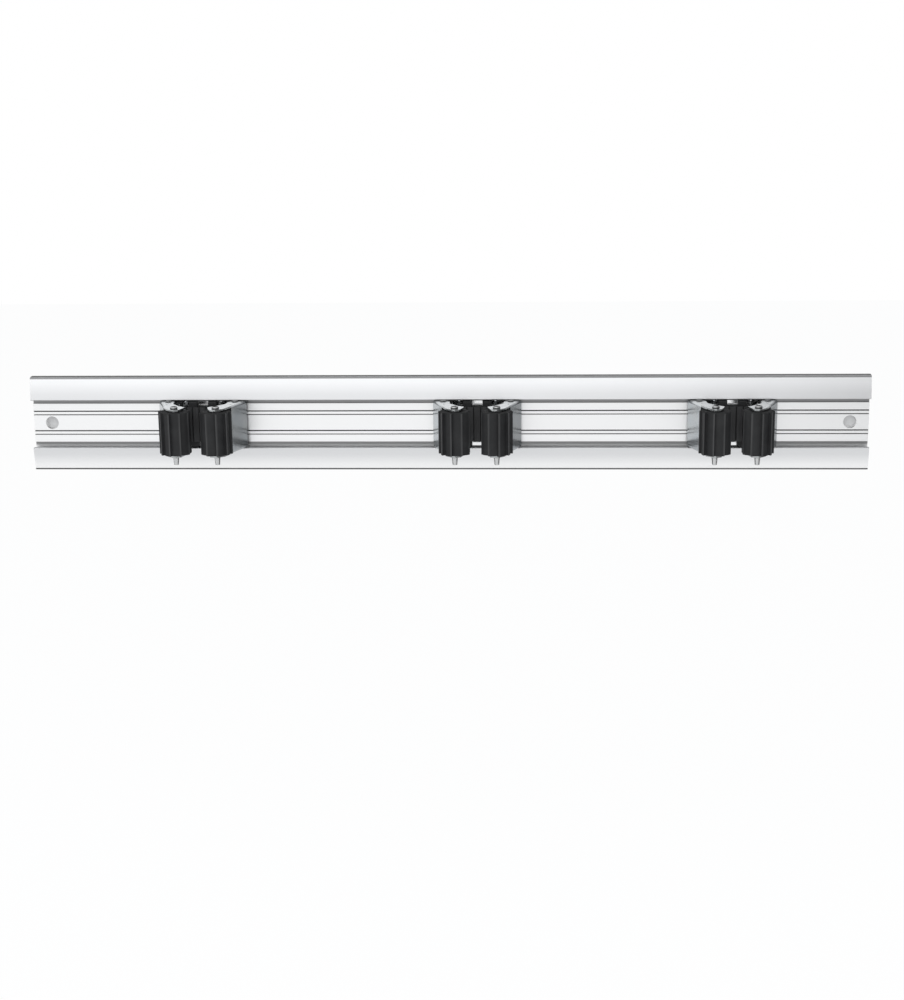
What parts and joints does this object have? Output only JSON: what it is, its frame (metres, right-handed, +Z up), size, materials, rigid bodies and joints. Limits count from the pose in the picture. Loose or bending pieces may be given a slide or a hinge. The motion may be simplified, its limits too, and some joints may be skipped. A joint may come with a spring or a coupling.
{
  "type": "wall mop holder rack",
  "caption": "Slotted wall rail with sliding holders; each holder grips an upright tool handle between two sprung rubber rollers and a ribbed rubber buffer.",
  "frame": {"origin": "middle of the rail's flat back, which lies on the wall", "axes": "+X along the rail to the viewer's right, +Z up, +Y into the wall"},
  "size_m": [0.5, 0.0424, 0.0568],
  "materials": {
    "anodised_aluminium": "satin silver anodised extrusion, fine lengthwise die lines",
    "zinc_steel": "bright zinc-plated pressed sheet, mirror-like with a faint blue cast",
    "bright_steel": "bright zinc-plated pin",
    "spring_steel": "drawn spring wire",
    "bush_steel": "plain turned bush",
    "black_rubber": "matt moulded rubber"
  },
  "bodies": {
    "rail": {"rail": "anodised_aluminium"},
    "holder1": {"holder1_base": "zinc_steel", "holder1_buffer": "black_rubber", "holder1_pivot_pin_left": "bright_steel", "holder1_spring_left": "spring_steel", "holder1_pivot_pin_right": "bright_steel", "holder1_spring_right": "spring_steel"},
    "holder1_arm_left": {"holder1_arm_left": "zinc_steel", "holder1_roller_pin_left": "bright_steel"},
    "holder1_roller_left": {"holder1_roller_left": "black_rubber", "holder1_roller_bush_left": "bush_steel"},
    "holder1_arm_right": {"holder1_arm_right": "zinc_steel", "holder1_roller_pin_right": "bright_steel"},
    "holder1_roller_right": {"holder1_roller_right": "black_rubber", "holder1_roller_bush_right": "bush_steel"},
    "holder2": {"holder2_base": "zinc_steel", "holder2_buffer": "black_rubber", "holder2_pivot_pin_left": "bright_steel", "holder2_spring_left": "spring_steel", "holder2_pivot_pin_right": "bright_steel", "holder2_spring_right": "spring_steel"},
    "holder2_arm_left": {"holder2_arm_left": "zinc_steel", "holder2_roller_pin_left": "bright_steel"},
    "holder2_roller_left": {"holder2_roller_left": "black_rubber", "holder2_roller_bush_left": "bush_steel"},
    "holder2_arm_right": {"holder2_arm_right": "zinc_steel", "holder2_roller_pin_right": "bright_steel"},
    "holder2_roller_right": {"holder2_roller_right": "black_rubber", "holder2_roller_bush_right": "bush_steel"},
    "holder3": {"holder3_base": "zinc_steel", "holder3_buffer": "black_rubber", "holder3_pivot_pin_left": "bright_steel", "holder3_spring_left": "spring_steel", "holder3_pivot_pin_right": "bright_steel", "holder3_spring_right": "spring_steel"},
    "holder3_arm_left": {"holder3_arm_left": "zinc_steel", "holder3_roller_pin_left": "bright_steel"},
    "holder3_roller_left": {"holder3_roller_left": "black_rubber", "holder3_roller_bush_left": "bush_steel"},
    "holder3_arm_right": {"holder3_arm_right": "zinc_steel", "holder3_roller_pin_right": "bright_steel"},
    "holder3_roller_right": {"holder3_roller_right": "black_rubber", "holder3_roller_bush_right": "bush_steel"}
  },
  "joints": [
    {"name": "holder1_slide", "type": "slide", "parent": "rail", "child": "holder1", "axis": [1, 0, 0], "range_m": [-0.08, 0.047]},
    {"name": "holder1_arm_left_hinge", "type": "hinge", "parent": "holder1", "child": "holder1_arm_left", "pos_m": [-0.16563, -0.0105, 0], "axis": [0, 0, -1], "range_deg": [0, 28], "stiffness_Nm_per_rad": 0.4, "springref_deg": -20.05, "deforming": ["holder1_spring_left"]},
    {"name": "holder1_roller_left_spin", "type": "hinge", "parent": "holder1_arm_left", "child": "holder1_roller_left", "pos_m": [-0.15785, -0.03246, 0], "axis": [0, 0, 1], "continuous": true},
    {"name": "holder1_arm_right_hinge", "type": "hinge", "parent": "holder1", "child": "holder1_arm_right", "pos_m": [-0.12557, -0.0105, 0], "axis": [0, 0, 1], "range_deg": [0, 28], "stiffness_Nm_per_rad": 0.4, "springref_deg": -20.05, "deforming": ["holder1_spring_right"]},
    {"name": "holder1_roller_right_spin", "type": "hinge", "parent": "holder1_arm_right", "child": "holder1_roller_right", "pos_m": [-0.13335, -0.03246, 0], "axis": [0, 0, 1], "continuous": true},
    {"name": "holder2_slide", "type": "slide", "parent": "rail", "child": "holder2", "axis": [1, 0, 0], "range_m": [-0.047, 0.041]},
    {"name": "holder2_arm_left_hinge", "type": "hinge", "parent": "holder2", "child": "holder2_arm_left", "pos_m": [-0.00133, -0.0105, 0], "axis": [0, 0, -1], "range_deg": [0, 28], "stiffness_Nm_per_rad": 0.4, "springref_deg": -20.05, "deforming": ["holder2_spring_left"]},
    {"name": "holder2_roller_left_spin", "type": "hinge", "parent": "holder2_arm_left", "child": "holder2_roller_left", "pos_m": [0.00645, -0.03246, 0], "axis": [0, 0, 1], "continuous": true},
    {"name": "holder2_arm_right_hinge", "type": "hinge", "parent": "holder2", "child": "holder2_arm_right", "pos_m": [0.03873, -0.0105, 0], "axis": [0, 0, 1], "range_deg": [0, 28], "stiffness_Nm_per_rad": 0.4, "springref_deg": -20.05, "deforming": ["holder2_spring_right"]},
    {"name": "holder2_roller_right_spin", "type": "hinge", "parent": "holder2_arm_right", "child": "holder2_roller_right", "pos_m": [0.03095, -0.03246, 0], "axis": [0, 0, 1], "continuous": true},
    {"name": "holder3_slide", "type": "slide", "parent": "rail", "child": "holder3", "axis": [1, 0, 0], "range_m": [-0.041, 0.056]},
    {"name": "holder3_arm_left_hinge", "type": "hinge", "parent": "holder3", "child": "holder3_arm_left", "pos_m": [0.14937, -0.0105, 0], "axis": [0, 0, -1], "range_deg": [0, 28], "stiffness_Nm_per_rad": 0.4, "springref_deg": -20.05, "deforming": ["holder3_spring_left"]},
    {"name": "holder3_roller_left_spin", "type": "hinge", "parent": "holder3_arm_left", "child": "holder3_roller_left", "pos_m": [0.15715, -0.03246, 0], "axis": [0, 0, 1], "continuous": true},
    {"name": "holder3_arm_right_hinge", "type": "hinge", "parent": "holder3", "child": "holder3_arm_right", "pos_m": [0.18943, -0.0105, 0], "axis": [0, 0, 1], "range_deg": [0, 28], "stiffness_Nm_per_rad": 0.4, "springref_deg": -20.05, "deforming": ["holder3_spring_right"]},
    {"name": "holder3_roller_right_spin", "type": "hinge", "parent": "holder3_arm_right", "child": "holder3_roller_right", "pos_m": [0.18165, -0.03246, 0], "axis": [0, 0, 1], "continuous": true}
  ]
}
